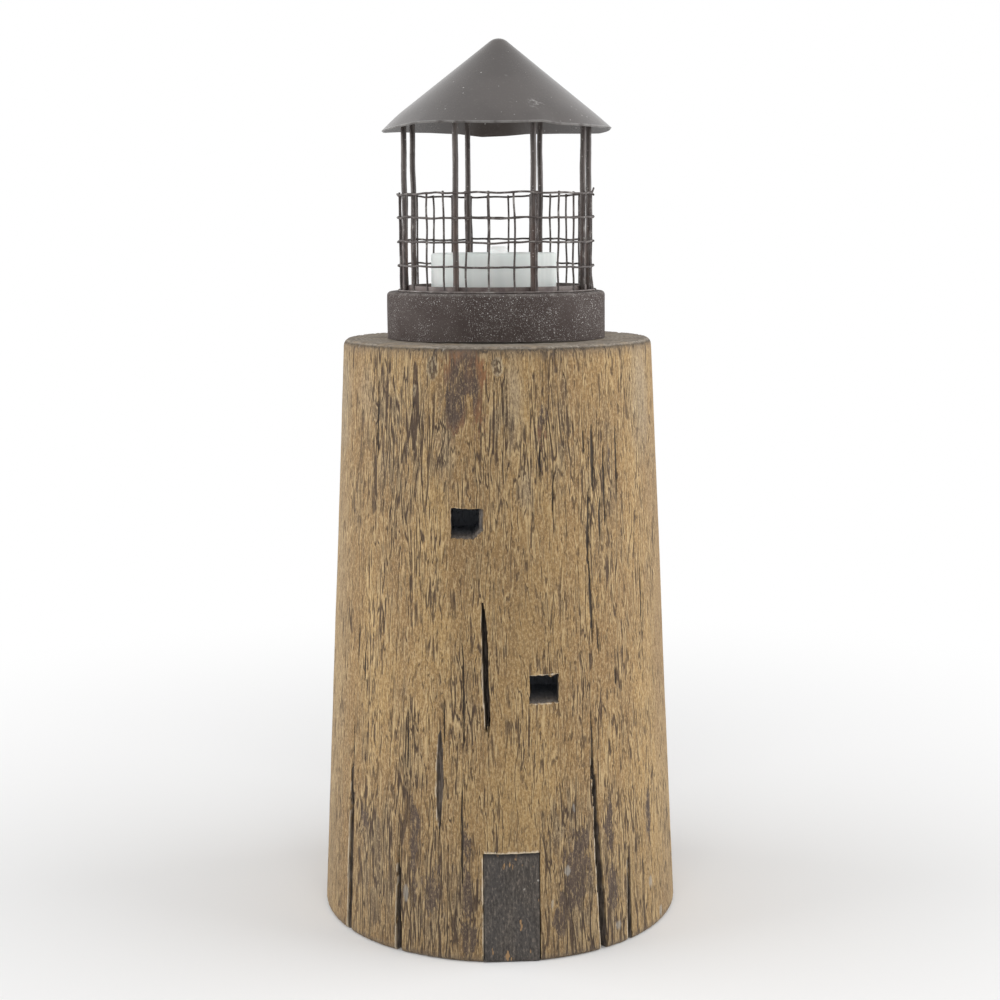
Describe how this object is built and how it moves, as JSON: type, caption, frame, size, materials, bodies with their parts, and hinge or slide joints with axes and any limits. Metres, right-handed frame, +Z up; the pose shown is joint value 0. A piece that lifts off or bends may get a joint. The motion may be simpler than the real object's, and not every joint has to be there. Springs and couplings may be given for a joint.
{
  "type": "lighthouse ornament",
  "caption": "Garden lighthouse: tapered timber tower with door and window recesses, a wire-caged metal lantern with a lift-off conical roof, and an electric candle inside.",
  "frame": {"origin": "centre of the tower's foot, on the surface that it stands on", "axes": "+Z up along the tower's axis; the door and windows face -Y; +X is to the viewer's right"},
  "size_m": [0.1988, 0.1984, 0.4765],
  "materials": {
    "weathered_timber": "weathered, brushed grain with dark checks",
    "door_paint": "worn dark paint on timber",
    "lantern_paint": "dark brown matt paint with pale dust",
    "roof_paint": "grey-brown satin paint",
    "mesh_wire": "rust-brown painted wire",
    "screw_steel": "zinc plated",
    "candle_wax_plastic": "frosted white",
    "flame_plastic": "frosted warm white",
    "base_plastic": "moulded white",
    "switch_plastic": "moulded black",
    "led_lens": "clear amber",
    "circuit_board": "green solder mask",
    "cell_steel": "bright",
    "contact_brass": "spring sheet"
  },
  "bodies": {
    "tower": {"tower_log": "weathered_timber", "door_panel": "door_paint", "lantern_base": "lantern_paint", "base_lugs": "lantern_paint", "lug_screws": "screw_steel", "lower_hoop": "lantern_paint", "upper_hoop": "lantern_paint", "post_1": "lantern_paint", "post_2": "lantern_paint", "post_3": "lantern_paint", "post_4": "lantern_paint", "post_5": "lantern_paint", "post_6": "lantern_paint", "post_7": "lantern_paint", "post_8": "lantern_paint", "mesh_row_1": "mesh_wire", "mesh_row_2": "mesh_wire", "mesh_row_3": "mesh_wire", "mesh_row_4": "mesh_wire", "mesh_row_5": "mesh_wire", "mesh_upright_wires": "mesh_wire"},
    "roof": {"roof": "roof_paint"},
    "candle": {"candle_shell": "candle_wax_plastic", "candle_flame": "flame_plastic", "candle_led": "led_lens", "candle_board": "circuit_board", "candle_base": "base_plastic", "candle_base_screws": "screw_steel", "candle_cell": "cell_steel", "contact_positive": "contact_brass", "contact_negative": "contact_brass", "switch_body": "switch_plastic"},
    "battery_cap": {"battery_cap": "base_plastic"},
    "switch": {"switch_slider": "switch_plastic"}
  },
  "joints": [
    {"name": "roof_lift", "type": "slide", "parent": "tower", "child": "roof", "axis": [0, 0, 1], "range_m": [0, 0.1]},
    {"name": "candle_lift", "type": "slide", "parent": "tower", "child": "candle", "axis": [0, 0, 1], "range_m": [0, 0.08]},
    {"name": "battery_cap_turn", "type": "hinge", "parent": "candle", "child": "battery_cap", "pos_m": [-0.0018, 0, 0.3188], "axis": [0, 0, 1], "range_deg": [0, 25]},
    {"name": "switch_slide", "type": "slide", "parent": "candle", "child": "switch", "axis": [1, 0, 0], "range_m": [0, 0.003]}
  ]
}
